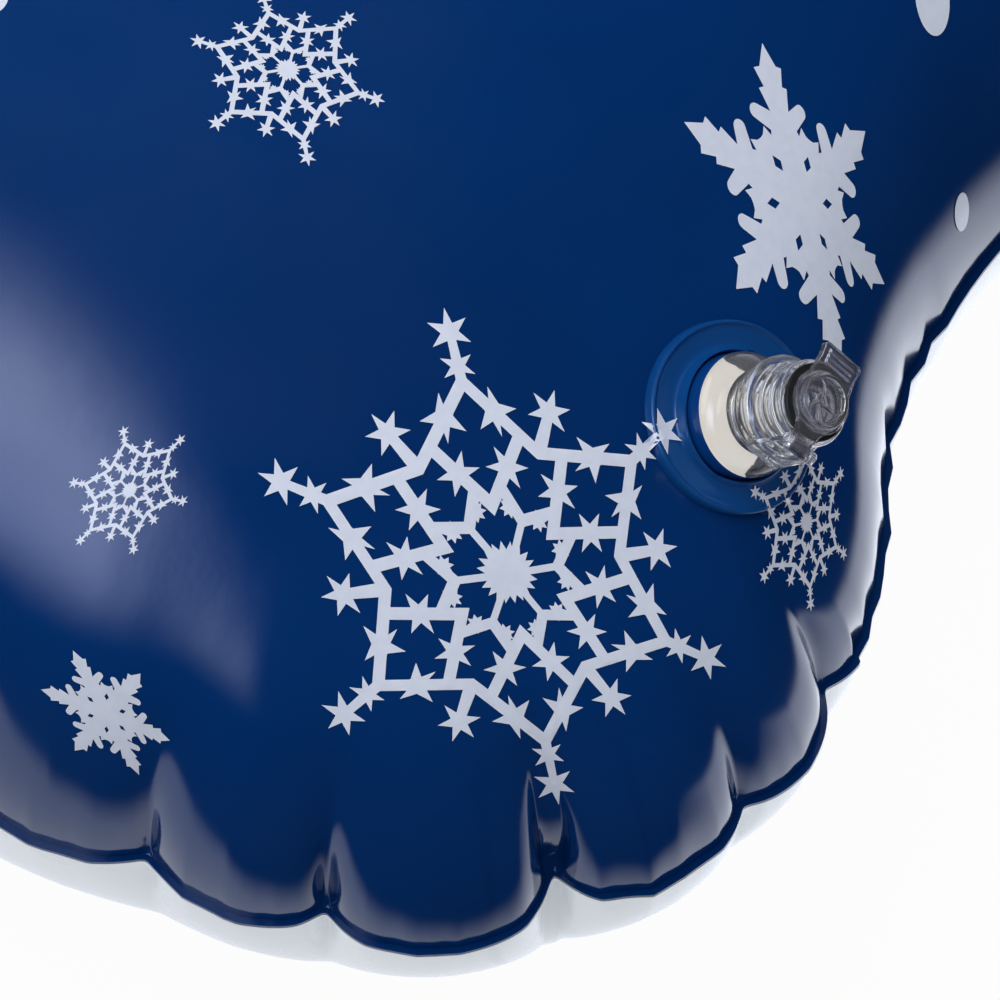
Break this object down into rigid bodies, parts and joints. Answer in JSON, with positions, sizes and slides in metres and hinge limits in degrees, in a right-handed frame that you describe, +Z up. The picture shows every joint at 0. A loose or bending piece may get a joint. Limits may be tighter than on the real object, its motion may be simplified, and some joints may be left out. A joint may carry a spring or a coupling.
{
  "type": "inflatable snow sled",
  "caption": "Inflatable snow sled with a grooved deck, raised nose, puckered weld edge, swinging grab handles, nose tow eyelet and a push-in oral valve with a tethered cap.",
  "frame": {"origin": "on the ground, in the flat strip under the middle of the inflated body", "axes": "+X to the rider's right, +Y towards the nose, +Z up"},
  "size_m": [0.6188, 1.0805, 0.232],
  "materials": {
    "navy_pvc": "glossy film, printed with white snowflakes",
    "white_pvc": "semi-gloss film",
    "web_pvc": "plain film",
    "flange_pvc": "moulded, semi-gloss",
    "clear_pvc": "soft clear moulding",
    "gasket_rubber": "matt black",
    "handle_pvc": "moulded, satin",
    "grip_foam": "soft ribbed sleeve",
    "patch_pvc": "moulded, semi-gloss",
    "tab_pvc": "welded double film",
    "eyelet_metal": "plated"
  },
  "bodies": {
    "sled": {"top_panel": "navy_pvc", "bottom_panel": "white_pvc", "baffle_1": "web_pvc", "baffle_2": "web_pvc", "baffle_3": "web_pvc", "baffle_4": "web_pvc", "valve_flange": "flange_pvc", "handle_right_patch_front": "patch_pvc", "handle_right_patch_rear": "patch_pvc", "handle_left_patch_front": "patch_pvc", "handle_left_patch_rear": "patch_pvc", "tow_tab": "tab_pvc", "tow_eyelet": "eyelet_metal"},
    "valve": {"valve_body": "clear_pvc", "valve_gasket": "gasket_rubber", "valve_strap": "clear_pvc"},
    "cap": {"valve_cap": "clear_pvc"},
    "flap": {"valve_check_flap": "clear_pvc"},
    "grab_right": {"handle_right": "handle_pvc", "handle_right_grip": "grip_foam"},
    "grab_left": {"handle_left": "handle_pvc", "handle_left_grip": "grip_foam"}
  },
  "joints": [
    {"name": "valve_push", "type": "slide", "parent": "sled", "child": "valve", "axis": [0.6758, -0.0054, 0.7371], "range_m": [-0.02, 0]},
    {"name": "cap_hinge", "type": "hinge", "parent": "valve", "child": "cap", "pos_m": [0.26598, -0.42135, 0.16589], "axis": [0.7371, 0, -0.6758], "range_deg": [0, 150]},
    {"name": "flap_hinge", "type": "hinge", "parent": "valve", "child": "flap", "pos_m": [0.25174, -0.41563, 0.15036], "axis": [-0.7371, 0, 0.6758], "range_deg": [0, 40], "stiffness_Nm_per_rad": 0.0003, "springref_deg": -5.73},
    {"name": "handle_right_hinge", "type": "hinge", "parent": "sled", "child": "grab_right", "pos_m": [0.23917, 0.03, 0.18683], "axis": [0, 1, 0], "range_deg": [-70, 70]},
    {"name": "handle_left_hinge", "type": "hinge", "parent": "sled", "child": "grab_left", "pos_m": [-0.23917, 0.03001, 0.18683], "axis": [0.0002, 1, -0.0005], "range_deg": [-70, 70]}
  ]
}
